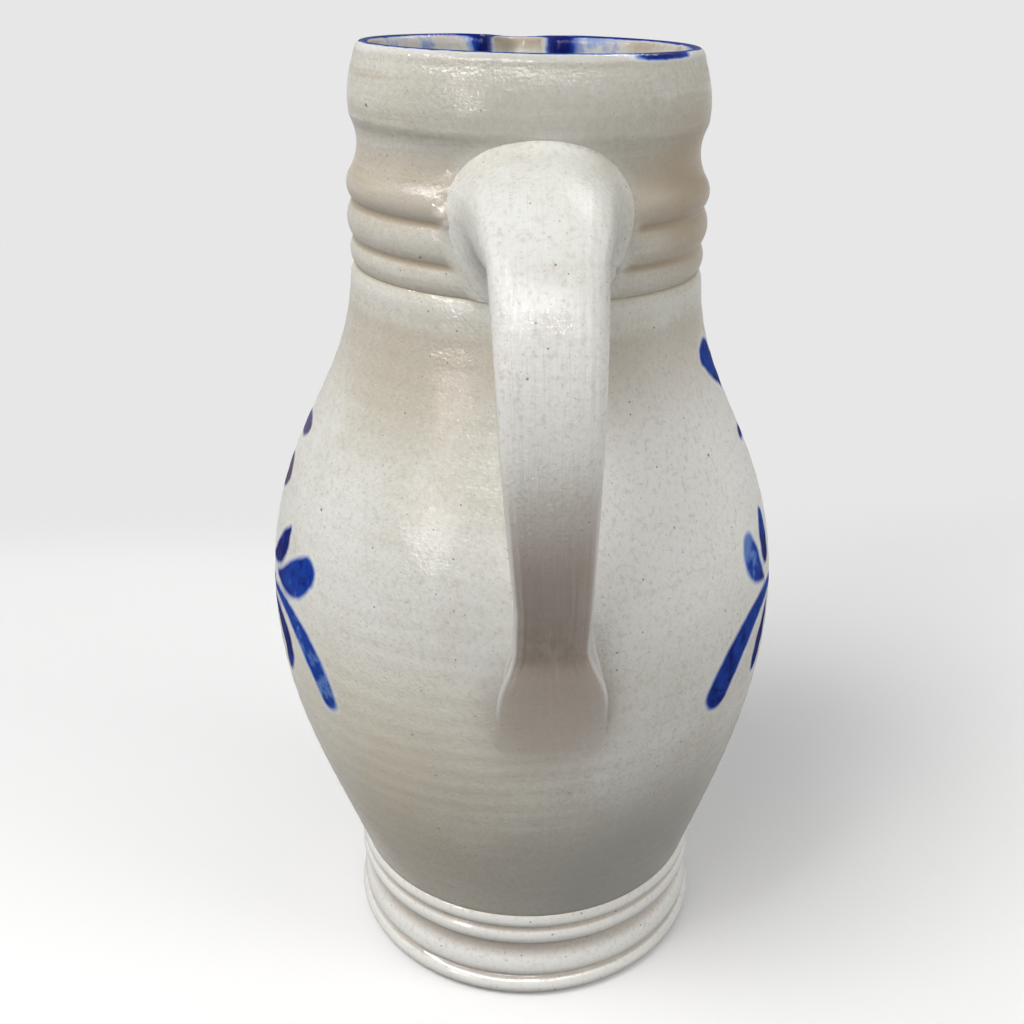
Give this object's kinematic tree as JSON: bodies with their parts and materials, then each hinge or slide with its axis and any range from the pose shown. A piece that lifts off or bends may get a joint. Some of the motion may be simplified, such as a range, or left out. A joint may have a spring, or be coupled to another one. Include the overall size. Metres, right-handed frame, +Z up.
{
  "type": "stoneware pitcher",
  "caption": "Baluster stoneware pitcher with beaded foot, ribbed neck, plain collar, pulled pouring lip and strap handle, salt-glazed with cobalt brushwork, for holding and pouring drinks.",
  "frame": {"origin": "centre of the flat base, on the surface that the pitcher stands on", "axes": "+Z up along the thrown axis, +X towards the handle, -X towards the pouring lip"},
  "size_m": [0.1785, 0.1552, 0.281],
  "materials": {
    "bare_stoneware": "unglazed fired stoneware, matte tan",
    "foot_glaze": "salt glaze, glossy pale grey",
    "body_glaze": "salt glaze, warm grey with orange-peel skin and cobalt brushwork",
    "neck_glaze": "salt glaze, warm grey with a cobalt wash on the rim",
    "handle_glaze": "salt glaze over clay pulled by hand, glossy pale grey"
  },
  "bodies": {
    "root": {"floor_slab": "bare_stoneware", "foot_ring": "foot_glaze", "belly": "body_glaze", "neck": "neck_glaze", "spout": "neck_glaze", "handle": "handle_glaze", "upper_luting": "handle_glaze", "lower_luting": "handle_glaze"}
  },
  "joints": []
}
